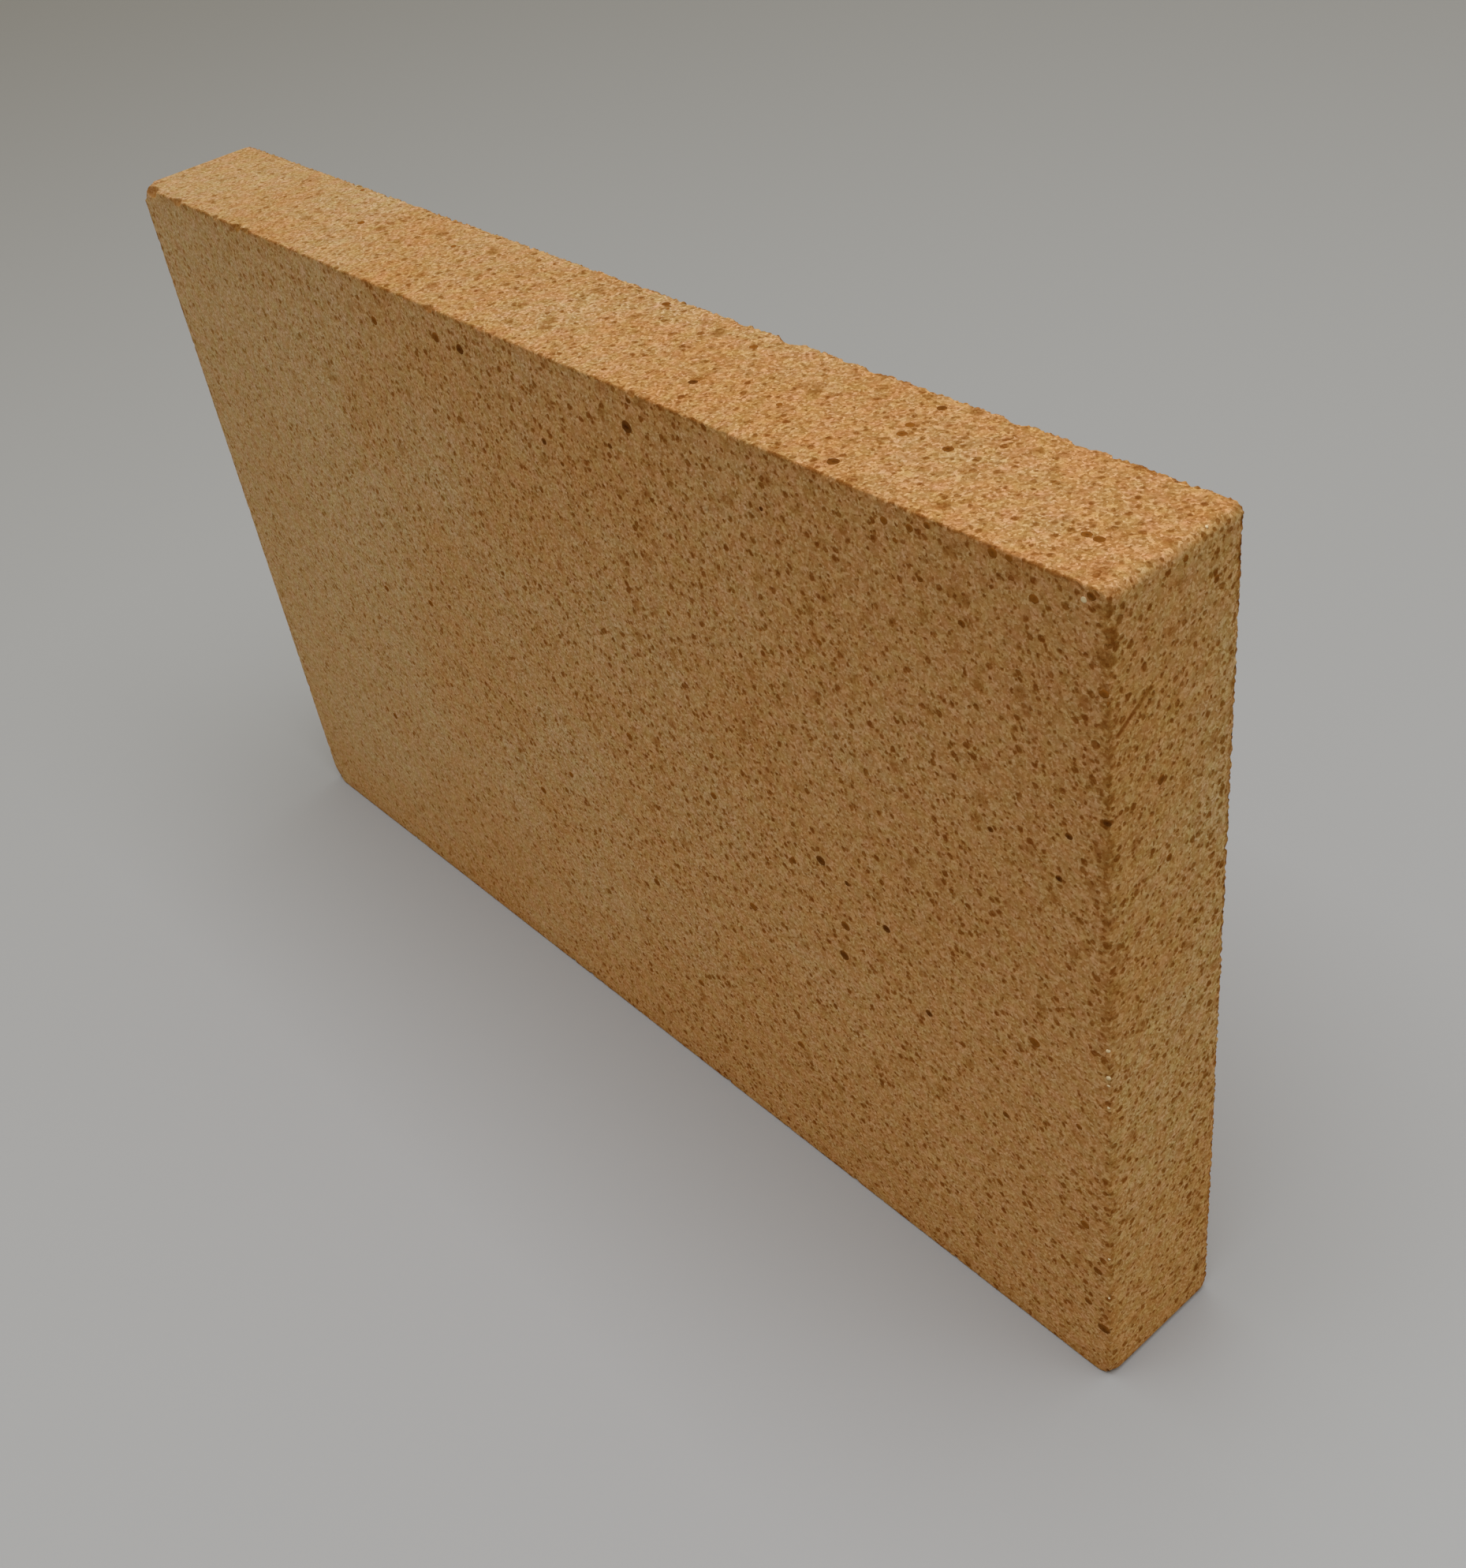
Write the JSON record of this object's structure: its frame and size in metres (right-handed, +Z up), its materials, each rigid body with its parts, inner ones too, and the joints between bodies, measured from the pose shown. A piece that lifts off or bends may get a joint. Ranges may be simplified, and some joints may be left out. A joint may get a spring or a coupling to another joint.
{
  "type": "refractory firebrick",
  "caption": "Flat slab of buff fireclay brick with fine rounded arrises, for lining a stove, kiln or fireplace.",
  "frame": {"origin": "middle of the long narrow side that the brick stands on", "axes": "+X along the length, +Y through the thickness, +Z up the height"},
  "size_m": [0.249, 0.0254, 0.1524],
  "materials": {
    "fired_fireclay": "matt, fine-grained buff fireclay with brown iron spots"
  },
  "bodies": {
    "root": {"firebrick": "fired_fireclay"}
  },
  "joints": []
}
